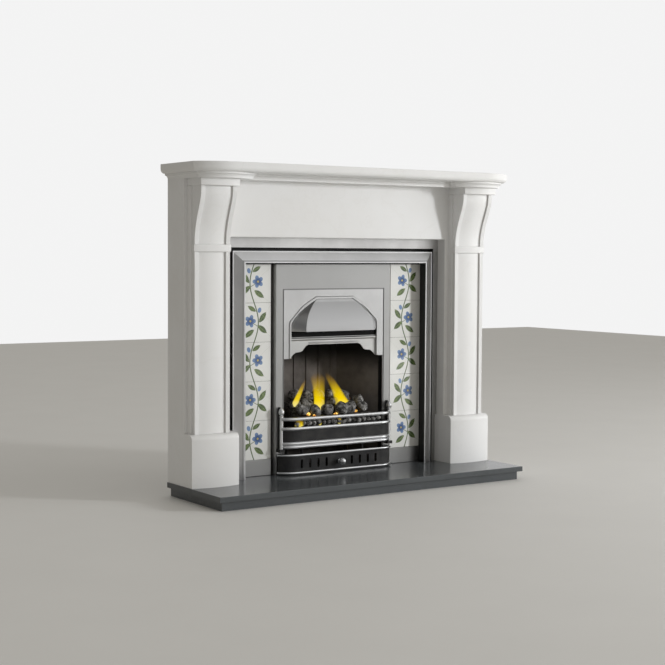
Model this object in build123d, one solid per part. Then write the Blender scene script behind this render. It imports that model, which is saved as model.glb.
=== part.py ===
import os
from math import asin, cos, radians, sin, sqrt

from build123d import *

# Sizes in millimetres. X runs along the wall, Y from the wall into the room is negative, and Z is
# counted from the top of the hearth until the last step. The centre panel and the tiles come first,
# and the frame, the legs, the shelf and the hearth are spaced outwards from them.

# Tiles and centre panel
tile = 152.4
tile_thickness = 9.5
tile_gap = 0.6
tile_front = 59.0
tile_bottom = 65.0
tiles_high = 5
tile_top = tile_bottom + tiles_high * tile + (tiles_high - 1) * tile_gap
panel_half = 274.0
panel_draft = 7.0
panel_front = 75.0
panel_skin = 6.0
panel_top = tile_top + 2.6
tile_inner = panel_half + 2 * panel_draft
tile_outer = tile_inner + tile

# Fire mouth, arch, hood and rail
mouth_half = panel_half - 36.0
mouth_top = 455.0
arch_half = mouth_half - 32.0
arch_flat = arch_half - 120.0
arch_spring = mouth_top + 133.0
arch_height = 102.0
arch_top = arch_spring + arch_height
hood_bottom = arch_spring - 26.0
hood_reach = 46.0
hood_face_half = arch_half - 43.0
rail_bottom = mouth_top + 53.0
rail_height = 29.0
rail_top = rail_bottom + rail_height

# Frame and back plate
insert_front = 82.0
plate_thickness = 3.0
frame_width = 46.0
frame_lip = 91.0
frame_ridge = 110.0
frame_cover = 8.4
frame_half = tile_outer + frame_width - frame_cover
frame_top = tile_top + frame_width + 2.1
shadow_gap = 13.0
back_plate_thickness = 5.0

# Legs
leg_inner = frame_half + 37.0
leg_width = 192.0
leg_outer = leg_inner + leg_width
leg_centre = (leg_outer + leg_inner) / 2
board_front = 129.0
board_wall = 25.0
step_margin = 14.0
step_front = 154.0
pilaster_half = 75.0
pilaster_front = 171.0
border = 17.0
sunk = 8.0
plinth_height = 197.0
plinth_front = 190.0
plinth_bow = 15.0
plinth_shoulder = 20.0

# Frieze, corbels and mantel shelf
frieze_bottom = frame_top + 51.5
neck_bottom = frieze_bottom - 56.5
neck_height = 28.0
corbel_bottom = neck_bottom + neck_height
corbel_rise = 214.5
corbel_top = corbel_bottom + corbel_rise
cap_height = 27.0
cap_front = 237.0
cap_bow = 13.0
bed_bottom = corbel_top + cap_height
bed_height = 21.0
shelf_bottom = bed_bottom + bed_height
shelf_thickness = 36.0
shelf_top = shelf_bottom + shelf_thickness
shelf_half = leg_outer + 30.0
shelf_front = 317.0
shelf_edge = 17.5
shelf_arc = 207.0
shelf_corner = 144.0
shelf_straight = shelf_half - shelf_corner

# Hearth
hearth_half = leg_outer + 4.0
hearth_depth = 408.0
hearth_slab_thickness = 20.0
slip_height = 34.0
slip_thickness = 20.0
slip_setback = 16.0
hearth_top = hearth_slab_thickness + slip_height
recess_depth = 160.0
wall_y = (hearth_depth - recess_depth) / 2

# Grate and ashpit cover
grate_front = 118.0
grate_end = panel_half - 14.0
grate_corner = 60.0
grate_straight = grate_end - grate_corner
grate_end_y = 93.0
cover_end = panel_half - 2.0
cover_end_y = panel_front + 8.0
bar_radius = 7.0
bar_heights = (220.5, 183.0)
post_radius = 6.5
pin_radius = 4.0
finial_radius = 11.5
finial_height = 38.0
fret_bottom = 104.0
fret_band = 27.0
cover_top = 88.0
cover_skin = 5.0
cover_middle = 42.5
slots_each_side = 4
slot_land = 22.0
slot_pitch = (grate_straight - 2 * slot_land) / slots_each_side
knob_radius = 13.5
running = 0.5

# Firebox, burner and gas supply
cheek_thickness = 12.0
back_half = mouth_half - 88.0
back_front_y = 130.0
throat_height = arch_top - 50.0
flap_pin = 5.0
flap_open = 60.0
tray_half = mouth_half - 48.0
tray_back_half = tray_half - 30.0
tray_y0 = -102.0
tray_y1 = 75.0
tray_skin = 3.0
tray_top = 212.0
tray_bottom = 180.0
coal_pitch = (tray_half - 10.0) / 3
valve_x = 90.0
valve_z = 40.0
pipe_radius = 7.5
pipe_height = 30.0
pipe_y = 40.0
pipe_bend = 18.0
pipe_end = mouth_half + 62.0


def block(x0, x1, y0, y1, z0, z1):
    return Pos((x0 + x1) / 2, (y0 + y1) / 2, (z0 + z1) / 2) * Box(x1 - x0, y1 - y0, z1 - z0)


def prism(outline, z0, z1):
    return extrude(Pos(0, 0, z0) * make_face(outline), z1 - z0)


def front_prism(outline, y0, y1):
    """A front view outline, X across and Z up, carried from depth y0 to depth y1."""
    face = Plane(origin=(0, y0, 0), x_dir=(1, 0, 0), z_dir=(0, -1, 0)) * make_face(outline)
    return extrude(face, y0 - y1)


def bow_plan(x0, x1, back, edge, bow):
    middle = (x0 + x1) / 2
    arc = ThreePointArc((x1, edge), (middle, edge - bow), (x0, edge))
    return Polyline((x0, edge), (x0, back), (x1, back), (x1, edge)) + arc


def left_of(part):
    return mirror(part, Plane.YZ)


# Mantel shelf: straight front, swept corners, rounded lower edge
shelf_arc_y = shelf_front - shelf_arc
sweep_angle = asin((shelf_half - shelf_straight) / shelf_arc)
corner_y = shelf_arc_y + shelf_arc * cos(sweep_angle)
arc_middle = (
    shelf_straight + shelf_arc * sin(sweep_angle / 2),
    -shelf_arc_y - shelf_arc * cos(sweep_angle / 2),
)
shelf_plan = (
    Polyline((-shelf_half, -corner_y), (-shelf_half, 0), (shelf_half, 0), (shelf_half, -corner_y))
    + ThreePointArc((shelf_half, -corner_y), arc_middle, (shelf_straight, -shelf_front))
    + Line((shelf_straight, -shelf_front), (-shelf_straight, -shelf_front))
    + ThreePointArc(
        (-shelf_straight, -shelf_front), (-arc_middle[0], arc_middle[1]), (-shelf_half, -corner_y)
    )
)
mantel_shelf = prism(shelf_plan, shelf_bottom, shelf_top)
lower_edges = [e for e in mantel_shelf.edges().group_by(Axis.Z)[0] if e.center().Y < -1]
mantel_shelf = fillet(lower_edges, shelf_edge)
top_edges = [e for e in mantel_shelf.edges().group_by(Axis.Z)[-1] if e.center().Y < -1]
mantel_shelf = fillet(top_edges, 2.0)

# Bed moulding: a cove that sweeps out in a bow over each leg
bed_half = shelf_half - 18.0
bed_bow_x = shelf_straight
bed_bow_radius = 177.0
bed_bow_crown = 300.0
bed_centre_y = 218.0
bed_cove = 12.0
bed_lip = 6.0
bed_bow_half = bed_half - bed_bow_x


def bed_plan(inset):
    radius = bed_bow_radius - inset
    half = bed_bow_half - inset
    origin_y = bed_bow_crown - bed_bow_radius
    edge_y = origin_y + sqrt(radius**2 - half**2)
    crown_y = origin_y + radius
    front_y = bed_centre_y - inset
    outer, inner = bed_bow_x + half, bed_bow_x - half
    return (
        Polyline((-outer, -edge_y), (-outer, 0), (outer, 0), (outer, -edge_y))
        + ThreePointArc((outer, -edge_y), (bed_bow_x, -crown_y), (inner, -edge_y))
        + Polyline((inner, -edge_y), (inner, -front_y), (-inner, -front_y), (-inner, -edge_y))
        + ThreePointArc((-inner, -edge_y), (-bed_bow_x, -crown_y), (-outer, -edge_y))
    )


cove_drop = bed_height - bed_lip
bed_steps = [(0.0, 0.0), (bed_lip, 0.0)]
for degrees in (25, 50, 70, 90):
    turn = radians(degrees)
    bed_steps.append((bed_lip + cove_drop * (1 - cos(turn)), bed_cove * sin(turn)))
bed_sections = [Pos(0, 0, shelf_bottom - drop) * make_face(bed_plan(inset)) for drop, inset in bed_steps]
bed_mould = Part() + [loft(pair, ruled=True) for pair in zip(bed_sections[:-1], bed_sections[1:])]

# Frieze: face and soffit between the leg boards
frieze_back = -board_front + board_wall
frieze = block(-leg_inner, leg_inner, -board_front, frieze_back, frieze_bottom, bed_bottom)
frieze += block(-leg_inner, leg_inner, frieze_back, -insert_front, frieze_bottom, frieze_bottom + board_wall)
arris = [
    e
    for e in frieze.edges().group_by(Axis.Z)[0].filter_by(Axis.X)
    if abs(e.center().Y + board_front) < 1
]
frieze = fillet(arris, 4.0)

# Leg board: a channel open at the back, standing on the hearth
leg_board = block(leg_inner, leg_outer, -board_front, 0, 0, bed_bottom)
leg_board -= block(
    leg_inner + board_wall, leg_outer - board_wall, -board_front + board_wall, 1, -1, bed_bottom + 1
)
front_arris = [e for e in leg_board.edges().filter_by(Axis.Z) if abs(e.center().Y + board_front) < 1]
leg_board = fillet(front_arris, 1.5)

step_x0 = leg_centre - pilaster_half - 4.0
step_x1 = leg_outer - step_margin + 1.0
step_slab = block(step_x0, step_x1, -step_front, -board_front, plinth_height, corbel_top)
front_arris = [e for e in step_slab.edges().filter_by(Axis.Z) if e.center().Y < -board_front - 5]
step_slab = fillet(front_arris, 1.5)

# Pilaster with a sunk panel whose face swells forward
pil_x0, pil_x1 = leg_centre - pilaster_half, leg_centre + pilaster_half
panel_x0, panel_x1 = pil_x0 + border, pil_x1 - border
pilaster = block(pil_x0, pil_x1, -pilaster_front, -step_front, plinth_height, neck_bottom)
front_arris = [e for e in pilaster.edges().filter_by(Axis.Z) if e.center().Y < -step_front - 5]
pilaster = chamfer(front_arris, 1.0)
sunk_z0, sunk_z1 = plinth_height, neck_bottom
sunk_floor = -pilaster_front + sunk
pilaster -= block(panel_x0, panel_x1, -pilaster_front - 1, sunk_floor, sunk_z0, sunk_z1)
pilaster += prism(bow_plan(panel_x0, panel_x1, sunk_floor + 1, sunk_floor, sunk), sunk_z0, sunk_z1)

# Neck band and cap block, both bowed
neck_proud = 3.0
neck_band = prism(
    bow_plan(pil_x0 - neck_proud, pil_x1 + neck_proud, -step_front, -pilaster_front - neck_proud, 9.0),
    neck_bottom,
    corbel_bottom,
)
bowed_edges = [
    e for e in neck_band.edges() if e.center().Y < -pilaster_front and abs(e.center().X - leg_centre) < 40
]
neck_band = fillet(bowed_edges, 4.0)
cap_block = prism(bow_plan(step_x0, step_x1, -board_front, -cap_front, cap_bow), corbel_top, bed_bottom)
lower_edges = [e for e in cap_block.edges().group_by(Axis.Z)[0] if e.center().Y < -board_front - 5]
cap_block = fillet(lower_edges, 3.0)

# Corbel: S shaped face, sunk panel following the same line
corbel_line = Spline(
    (-pilaster_front - 2.0, 0.0),
    (-pilaster_front - 8.0, 0.27 * corbel_rise),
    (-pilaster_front - 20.0, 0.45 * corbel_rise),
    (-pilaster_front - 37.0, 0.65 * corbel_rise),
    (-pilaster_front - 50.0, 0.83 * corbel_rise),
    (-pilaster_front - 52.0, corbel_rise),
)
side_plane = Plane(origin=(pil_x0, 0, corbel_bottom), x_dir=(0, 1, 0), z_dir=(1, 0, 0))
corbel_side = corbel_line + Polyline(
    corbel_line @ 1, (-step_front, corbel_rise), (-step_front, 0), corbel_line @ 0
)
corbel = extrude(side_plane * make_face(corbel_side), 2 * pilaster_half)
path = Pos(pilaster_half, 0, 0) * (side_plane.location * Edge(corbel_line.wrapped))
start = Plane(origin=path @ 0, x_dir=(1, 0, 0), z_dir=path % 0)
panel_half_width = (panel_x1 - panel_x0) / 2
inward = 1 if start.y_dir.Y > 0 else -1
groove = Rectangle(2 * panel_half_width, sunk + 2.0, align=(Align.CENTER, Align.CENTER))
groove = Pos(0, inward * (sunk - 2.0) / 2) * groove
swell = ThreePointArc(
    (-panel_half_width, inward * sunk), (0, 0), (panel_half_width, inward * sunk)
) + Polyline(
    (panel_half_width, inward * sunk),
    (panel_half_width, inward * (sunk + 2.0)),
    (-panel_half_width, inward * (sunk + 2.0)),
    (-panel_half_width, inward * sunk),
)
corbel -= sweep(start * groove, path=path)
corbel += sweep(start * make_face(swell), path=path)
corbel &= block(pil_x0, pil_x1, -cap_front, -step_front, corbel_bottom, corbel_top)

# Plinth: bowed block with a rounded shoulder, returning along the board's inner side
plinth_inner = leg_inner - 8.0
plinth = prism(
    bow_plan(plinth_inner, leg_outer, -board_front, -plinth_front, plinth_bow), 0, plinth_height
)
plinth += block(plinth_inner, leg_inner, -board_front, -insert_front, 0, plinth_height)
shoulder = [
    e
    for e in plinth.edges().group_by(Axis.Z)[-1]
    if e.center().Y < -plinth_front and abs(e.center().X - leg_centre) < 20
]
plinth = fillet(shoulder, plinth_shoulder)

# Hearth: one slab on four slips, and a rear slab under the fire
hearth_slab = block(-hearth_half, hearth_half, -hearth_depth, 0, -hearth_slab_thickness, 0)
top_edges = [e for e in hearth_slab.edges().group_by(Axis.Z)[-1] if e.center().Y < -1]
hearth_slab = fillet(top_edges, 2.0)
slip_x, slip_y = hearth_half - slip_setback, hearth_depth - slip_setback
slip_z0 = -hearth_top
hearth_slip_front = block(
    -slip_x, slip_x, -slip_y, -slip_y + slip_thickness, slip_z0, -hearth_slab_thickness
)
hearth_slip_back = block(-slip_x, slip_x, -slip_thickness, 0, slip_z0, -hearth_slab_thickness)
hearth_slip_side = block(
    slip_x - slip_thickness,
    slip_x,
    -slip_y + slip_thickness,
    -slip_thickness,
    slip_z0,
    -hearth_slab_thickness,
)
rear_slab_half = mouth_half + 40.0
rear_hearth = block(-rear_slab_half, rear_slab_half, 0, recess_depth, slip_z0, 0)

# Flat metal slips between the stone and the insert
slips = block(-leg_inner, leg_inner, -insert_front, -insert_front + plate_thickness, 0, frieze_bottom)
slips_hole = frame_half + shadow_gap
slips -= block(-slips_hole, slips_hole, -insert_front - 1, 0, -1, frame_top + shadow_gap)

# Bevelled frame, mitred at its top corners
back_plate_front = tile_front - tile_thickness
frame_profile = Polyline(
    (0, -back_plate_front),
    (0, -frame_lip),
    (4, -frame_lip),
    (5, -frame_lip + 2),
    (frame_width - 6, -frame_ridge + 3),
    (frame_width - 4, -frame_ridge),
    (frame_width, -frame_ridge),
    (frame_width - 8, -tile_front - 1),
    (frame_width - 13, -tile_front - 1),
    (frame_width - 8, -frame_ridge + 9),
    (8, -frame_lip + 5),
    (8, -back_plate_front),
    close=True,
)
frame_face = Pos(-frame_half, 0, 0) * make_face(frame_profile)
frame_path = Polyline(
    (-frame_half, -back_plate_front, 0),
    (-frame_half, -back_plate_front, frame_top),
    (frame_half, -back_plate_front, frame_top),
    (frame_half, -back_plate_front, 0),
)
bevel_frame = sweep(frame_face, path=frame_path, transition=Transition.RIGHT)

# Tiles, five in each column, and the plain plate below them
tile_z = [tile_bottom + i * (tile + tile_gap) for i in range(tiles_high)]
tile_body = Box(tile, tile_thickness, tile)
tile_body = fillet(tile_body.faces().sort_by(Axis.Y)[0].edges(), 1.2)
tile_y = -tile_front + tile_thickness / 2
tiles_right = Compound(
    children=[Pos(tile_inner + tile / 2, tile_y, z + tile / 2) * tile_body for z in tile_z]
)
lower_plate = block(tile_inner, tile_outer, -tile_front, -back_plate_front, 0, tile_bottom - tile_gap)
lower_plate = fillet(lower_plate.faces().sort_by(Axis.Y)[0].edges().filter_by(Axis.X), 2.0)

# Back plate that carries tiles and panel, stepped forward to the slips
plate_half = slips_hole + 8.0
plate_y1 = -back_plate_front + back_plate_thickness
plate_top = frame_top + shadow_gap + 8.0
step_y0 = -insert_front + plate_thickness
back_plate = block(-plate_half, plate_half, step_y0, plate_y1, 0, plate_top)
plate_inner = plate_half - back_plate_thickness
back_plate -= block(
    -plate_inner, plate_inner, step_y0 - 1, -back_plate_front, -1, plate_top - back_plate_thickness
)
back_plate -= block(-mouth_half, mouth_half, -100, 0, -1, arch_top)

# Centre panel: a tapered shell with an arch, a groove and the fire mouth
panel_depth = panel_front - back_plate_front


def front_outline(half, low, high):
    return Polyline((-half, low), (half, low), (half, high), (-half, high), close=True)


def panel_shell(inset):
    faces = []
    for y, half in ((-back_plate_front, panel_half + panel_draft), (-panel_front + inset, panel_half)):
        plane = Plane(origin=(0, y, 0), x_dir=(1, 0, 0), z_dir=(0, -1, 0))
        faces.append(plane * make_face(front_outline(half - inset, 0, panel_top - inset)))
    return loft(faces, ruled=True)


def arch_side(grow):
    """Right side of the arch from its spring to the end of the flat top."""
    width, height = arch_half - arch_flat, arch_height
    return Spline(
        (arch_half + grow, arch_spring),
        (arch_half + grow - 0.14 * width, arch_spring + 0.27 * height),
        (arch_half + grow * 0.7 - 0.4 * width, arch_spring + 0.56 * height + grow * 0.7),
        (arch_flat + grow * 0.4, arch_top + grow),
        tangents=((0, 1), (-1.6, 1)),
    )


def arch_outline(grow, foot):
    half, top = arch_half + grow, arch_top + grow
    flat = arch_flat + grow * 0.4
    return (
        Polyline((-half, arch_spring), (-half, foot), (half, foot), (half, arch_spring))
        + arch_side(grow)
        + Line((flat, top), (-flat, top))
        + mirror(arch_side(grow), Plane.YZ)
    )


centre_panel = panel_shell(0.0) - panel_shell(panel_skin)
groove_half, groove_top, groove_width, groove_depth = mouth_half + 1.0, arch_top + 40.0, 5.0, 2.5
groove_outer = groove_half + groove_width
groove_y0, groove_y1 = -panel_front - 1, -panel_front + groove_depth
rim = front_prism(arch_outline(9.0, mouth_top), -panel_front, -panel_front - 4.0)
rim = chamfer(rim.faces().sort_by(Axis.Y)[0].edges(), 2.5)
centre_panel += rim
centre_panel -= front_prism(arch_outline(0.0, mouth_top - 5), -panel_front + 30, -panel_front - 10)
centre_panel -= block(-mouth_half, mouth_half, -panel_front - 10, -panel_front + 30, -1, mouth_top)
centre_panel -= block(-groove_outer, -groove_half, groove_y0, groove_y1, 10, groove_top)
centre_panel -= block(groove_half, groove_outer, groove_y0, groove_y1, 10, groove_top)
centre_panel -= block(
    -groove_outer, groove_outer, groove_y0, groove_y1, groove_top - groove_width, groove_top
)

# Hood: a faceted canopy that swells out of the arch, hollow below, on its own flange
hood_levels = (0.0, 0.22, 0.44, 0.66, 0.84, 1.0)


def hood_section(rise, shrink):
    """Plan of the canopy at a share of its height: back edge on the arch, front face narrower."""
    height = hood_bottom + rise * (arch_top - 2.0 - hood_bottom)
    spring_rise = (arch_spring - hood_bottom) / (arch_top - hood_bottom)
    above = max(0.0, (rise - spring_rise) / (1 - spring_rise))
    back = arch_half - 2.5 - (arch_half - arch_flat) * above**1.55 - shrink
    front = arch_flat + (hood_face_half - arch_flat) * (1 - rise**2.1) - shrink
    reach = max(hood_reach * (1 - rise**1.7) - shrink, 1.0)
    y_back, y_front = -panel_front, -panel_front - reach
    plan = Polyline((-back, y_back), (-front, y_front), (front, y_front), (back, y_back), close=True)
    drop = shrink if rise > 0 else 1.0 if shrink else 0.0
    return Pos(0, 0, height - drop) * make_face(plan)


hood_flange_y = -panel_front + panel_skin
hood = loft([hood_section(rise, 0.0) for rise in hood_levels])
hood += front_prism(arch_outline(-1.0, hood_bottom), hood_flange_y, -panel_front)
hood += front_prism(arch_outline(10.0, hood_bottom), hood_flange_y + 3.0, hood_flange_y)
hood -= loft([hood_section(rise, 4.0) for rise in hood_levels])
hood -= front_prism(arch_outline(-6.0, hood_bottom - 1), hood_flange_y + 4.0, -panel_front - 1)

# Rail under the hood with shaped spandrels
spandrel = ((86, 0), (75, 5), (67, 13), (58, 24), (48, 28), (26, 30), (12, 40), (1, 51))
right_edge = [(arch_half - aside, rail_bottom - drop) for aside, drop in spandrel]
rail_side = arch_half + 12.0
rail_points = right_edge + [(rail_side, right_edge[-1][1]), (rail_side, rail_top + 18.0)]
rail_outline = Polyline(*rail_points, *[(-x, z) for x, z in reversed(rail_points)], close=True)
hood_rail = front_prism(rail_outline, -panel_front + panel_skin + 5.0, -panel_front + panel_skin)
bead = Rot(0, 90, 0) * Cylinder(6.5, 2 * arch_half - 1)
hood_rail += Pos(0, -panel_front + panel_skin, rail_top - 6.5) * bead
hood_rail += Pos(0, -panel_front + panel_skin, rail_bottom + 6.0) * (
    Rot(0, 90, 0) * Cylinder(3.0, 2 * (arch_half - spandrel[0][0]) - 4.0)
)

# Grate plan: straight front, ends swept back to a given end point
grate_plan = (grate_end, grate_end_y)
cover_plan = (cover_end, cover_end_y)


def plan_points(plan, inset):
    end_x, end_y = plan
    across, back = end_x - grate_straight, grate_front - end_y
    arc = (across**2 + back**2) / (2 * back)
    angle = asin(across / arc)
    radius = arc - inset
    return [
        (grate_straight + radius * sin(turn), -grate_front + arc - radius * cos(turn))
        for turn in (angle, angle / 2, 0)
    ]


def plan_line(plan, inset):
    end, middle, front = plan_points(plan, inset)
    return (
        ThreePointArc((-end[0], end[1]), (-middle[0], middle[1]), (-front[0], front[1]))
        + Line((-front[0], front[1]), front)
        + ThreePointArc(front, middle, end)
    )


def bowed_strip(plan, inset, thickness, z0, z1):
    outer_end = plan_points(plan, inset)[0]
    inner_end = plan_points(plan, inset + thickness)[0]
    outline = plan_line(plan, inset) + Line(outer_end, inner_end) + plan_line(plan, inset + thickness)
    outline += Line((-inner_end[0], inner_end[1]), (-outer_end[0], outer_end[1]))
    return prism(outline, z0, z1)


def bowed_bead(plan, radius, height, inset=0.0):
    line = Pos(0, 0, height) * plan_line(plan, inset)
    face = Plane(origin=line @ 0, z_dir=line % 0) * Circle(radius)
    return sweep(face, path=line)


front_bars = Part() + [bowed_bead(grate_plan, bar_radius, height) for height in bar_heights]
post_top = bar_heights[0] + 9.0
bracket_top = fret_bottom - 1.0
bracket_height = 12.0
for side in (-1, 1):
    front_bars += Pos(side * grate_end, -grate_end_y, (bracket_top + post_top) / 2) * Cylinder(
        post_radius, post_top - bracket_top
    )
    front_bars += Pos(side * grate_end, -grate_end_y, bracket_top - bracket_height / 2) * Cylinder(
        pin_radius, bracket_height
    )
finial_turn = Polyline((0, 0), (8, 0), (8, 3), (5, 5), (5, 7)) + Spline(
    (5, 7), (10, 12), (finial_radius, 20), (7, 31), (0, finial_height)
)
finial_turn += Line((0, finial_height), (0, 0))
finial = revolve(Plane.XZ * make_face(finial_turn), Axis.Z)
finials = Compound(
    children=[Pos(side * grate_end, -grate_end_y, post_top) * finial for side in (-1, 1)]
)
fret_top = bar_heights[1] - bar_radius - 0.3
fret_panel = bowed_strip(grate_plan, 2.0, 4.0, fret_bottom + fret_band, fret_top)
fret_moulding = bowed_strip(grate_plan, 3.0, 5.0, fret_bottom, fret_bottom + fret_band)
for height in (fret_bottom + 6.5, fret_bottom + 20.0):
    fret_moulding += bowed_bead(grate_plan, 6.4, height, 3.0)
post_clear = [
    Pos(side * grate_end, -grate_end_y, 160) * Cylinder(post_radius + 0.3, 200) for side in (-1, 1)
]
fret_panel -= post_clear
fret_moulding -= post_clear

# Flat plate behind each end post, level with the finial's top
end_plate = block(
    grate_end - 3,
    grate_end + 3,
    -grate_end_y,
    -panel_front - running,
    bracket_top,
    post_top + finial_height,
)
end_plate -= Pos(grate_end, -grate_end_y, post_top + finial_height) * Cylinder(
    finial_radius + running, 2 * finial_height
)
end_plate -= post_clear
end_plates = Compound(children=[end_plate, left_of(end_plate)])
bar_bracket = block(
    grate_end - 11,
    min(grate_end + 11, panel_half),
    -grate_end_y - 9,
    -panel_front,
    bracket_top - bracket_height,
    bracket_top,
)
bar_bracket -= Pos(grate_end, -grate_end_y, bracket_top) * Cylinder(
    pin_radius + running, 4 * bracket_height
)
bar_brackets = Compound(children=[bar_bracket, left_of(bar_bracket)])

# Ashpit cover with eight slots, beads and a ball knob
ashpit_cover = bowed_strip(cover_plan, 3.0, cover_skin, 0, cover_top - 5.0)
slot = SlotOverall(35.0, 11.0, rotation=90)
for side in (-1, 1):
    for i in range(1, slots_each_side + 1):
        slot_x = side * (slot_land + slot_pitch * i)
        ashpit_cover -= extrude(Plane.XZ * (Pos(slot_x, cover_middle) * slot), 200)
cover_beads = Compound(
    children=[bowed_bead(cover_plan, 4.5, height, -1.6) for height in (9.0, cover_top - 9.5)]
)
cover_face = -grate_front + 3.0
knob_y = -grate_front - 20.0
ashpit_knob = Pos(0, knob_y, cover_middle) * Sphere(knob_radius)
stem_length = cover_face - knob_y
stem = Pos(0, cover_face - stem_length / 2, cover_middle) * (Rot(90, 0, 0) * Cylinder(4.0, stem_length))
collar = Pos(0, cover_face - 1.5, cover_middle) * (Rot(90, 0, 0) * Cylinder(8.0, 3.0))
ashpit_knob = ashpit_knob + stem + collar

# Firebox: splayed cheeks, leaning back, roof plate with a flap
cheek_z1 = throat_height
firebox_y0 = plate_y1
cheek = prism(
    Polyline(
        (mouth_half, firebox_y0),
        (mouth_half + cheek_thickness, firebox_y0),
        (back_half + cheek_thickness, back_front_y),
        (back_half, back_front_y),
        close=True,
    ),
    0,
    cheek_z1,
)
pipe_hole = Rot(0, 90, 0) * Cylinder(pipe_radius + 1.5, 160)
cheek_right = cheek - Pos(mouth_half, pipe_y, pipe_height) * pipe_hole
back_outer = back_half + cheek_thickness
firebox_back = block(-back_outer, back_outer, back_front_y, back_front_y + 14.0, 0, throat_height)
rib_pitch = back_half * 0.4
rib_top = throat_height - 40.0
for i in range(-2, 3):
    firebox_back += block(i * rib_pitch - 4, i * rib_pitch + 4, back_front_y - 4, back_front_y, 230, rib_top)
roof_plan = Polyline(
    (mouth_half + cheek_thickness, firebox_y0),
    (back_outer, back_front_y + 14.0),
    (-back_outer, back_front_y + 14.0),
    (-mouth_half - cheek_thickness, firebox_y0),
    close=True,
)
throat_plate = prism(roof_plan, throat_height, throat_height + 8.0)
hole_half_x, hole_half_y = back_half - 30.0, 40.0
ear_x = hole_half_x + 10.0
throat_top = throat_height + 8.0
pin_y = 60.0
pin_z = throat_top + 6.0
throat_plate -= block(
    -hole_half_x, hole_half_x, pin_y - hole_half_y, pin_y + hole_half_y, throat_height - 1, throat_top + 1
)
pin_bore = Pos(0, pin_y, pin_z) * (Rot(0, 90, 0) * Cylinder(flap_pin + 0.05, 2 * ear_x + 40.0))
for side in (-1, 1):
    ear = block(side * ear_x - 4, side * ear_x + 4, pin_y - 10, pin_y + 10, throat_top, pin_z + 9)
    throat_plate += ear - pin_bore
flap = Box(2 * hole_half_x - 6, 2 * hole_half_y - 2, 4)
flap = fillet(flap.edges().filter_by(Axis.Z), 6)
flap += Rot(0, 90, 0) * Cylinder(flap_pin, 2 * ear_x + 10.0)
damper_flap = Pos(0, pin_y, pin_z) * Rot(flap_open, 0, 0) * flap

# Burner: tray on legs, pipe burner, fuel base in three steps, loose coals
def tray_plan(inset, y0):
    taper = (tray_half - tray_back_half) / (tray_y1 - tray_y0)
    front = tray_half - taper * (y0 - tray_y0) - inset
    back = tray_back_half - inset
    y1 = tray_y1 - inset
    return Polyline((-front, y0), (front, y0), (back, y1), (-back, y1), close=True)


burner_tray = prism(tray_plan(0.0, tray_y0), tray_bottom, tray_top)
burner_tray -= prism(tray_plan(tray_skin, tray_y0 + tray_skin), tray_bottom + tray_skin, tray_top + 1)
leg_x, leg_y0, leg_y1 = tray_back_half - 15.0, tray_y0 + 40.0, tray_y1 - 20.0
for x in (-leg_x, leg_x):
    for y in (leg_y0, leg_y1):
        burner_tray += Pos(x, y, tray_bottom / 2) * Cylinder(6.0, tray_bottom)
base_gap = tray_skin + running
base_steps = ((tray_y0 + base_gap, 225.0), (-42.0, 250.0), (16.0, 272.0))
fuel_base = Part()
for y0, top in base_steps:
    fuel_base += prism(tray_plan(base_gap, y0), tray_bottom + tray_skin, top)
fuel_base = fillet(fuel_base.edges().filter_by(Axis.X).group_by(Axis.Z)[-1], 3.0)
coal_rows = ((-72.0, 6, 60.0), (-13.0, 6, 58.0), (43.0, 5, 58.0))
coal_list = []
for row, (row_y, count, size) in enumerate(coal_rows):
    row_z = base_steps[row][1]
    for i in range(count):
        grow = 1 - 0.05 * ((3 * i + 2 * row) % 4)
        coal = Box(size * grow * 0.86, size * grow * 0.78, size * grow * 0.8)
        coal = chamfer(coal.edges(), size * 0.2)
        turn = Rot(0, 0, (37 * i + 23 * row) % 29 - 14)
        x = (i - (count - 1) / 2) * coal_pitch
        coal_list.append(Pos(x, row_y, row_z + size * grow * 0.4) * turn * coal)
coals = Compound(children=coal_list)

# Gas valve, control knob and supply pipe, hidden behind the ashpit cover
gas_valve = block(valve_x - 22, valve_x + 22, -60, -15, valve_z - 18, valve_z + 18)
gas_valve = fillet(gas_valve.edges().filter_by(Axis.Y), 6)
gas_valve += Pos(valve_x, -66, valve_z) * (Rot(90, 0, 0) * Cylinder(12.0, 12.0))
spindle_hole = Rot(90, 0, 0) * Cylinder(4.0 + 0.05, 16.0)
gas_valve -= Pos(valve_x, -66, valve_z) * spindle_hole
gas_valve += block(valve_x - 10, valve_x + 10, -50, -25, 0, valve_z - 17)
control_knob = Pos(valve_x, -84.5, valve_z) * (Rot(90, 0, 0) * Cylinder(17.0, 16.0))
control_knob = fillet(control_knob.faces().sort_by(Axis.Y)[0].edges(), 3.0)
control_knob += Pos(valve_x, -68.5, valve_z) * (Rot(90, 0, 0) * Cylinder(4.0, 16.0))
control_knob += block(valve_x - 3, valve_x + 3, -96, -92, valve_z - 13, valve_z + 13)
pipe_y0 = -14.9
pipe_line = FilletPolyline(
    (valve_x, pipe_y0, pipe_height),
    (valve_x, pipe_y, pipe_height),
    (pipe_end, pipe_y, pipe_height),
    radius=pipe_bend,
)
gas_pipe = sweep(Plane(origin=pipe_line @ 0, z_dir=pipe_line % 0) * Circle(pipe_radius), path=pipe_line)
gas_pipe += Pos(pipe_end - 38.0, pipe_y, pipe_height) * (Rot(0, 90, 0) * extrude(RegularPolygon(13.0, 6), 10.0))
feed_length = tray_bottom - valve_z - 18.0
burner_feed = Pos(valve_x, -37, tray_bottom - feed_length / 2) * Cylinder(5.0, feed_length)

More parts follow.
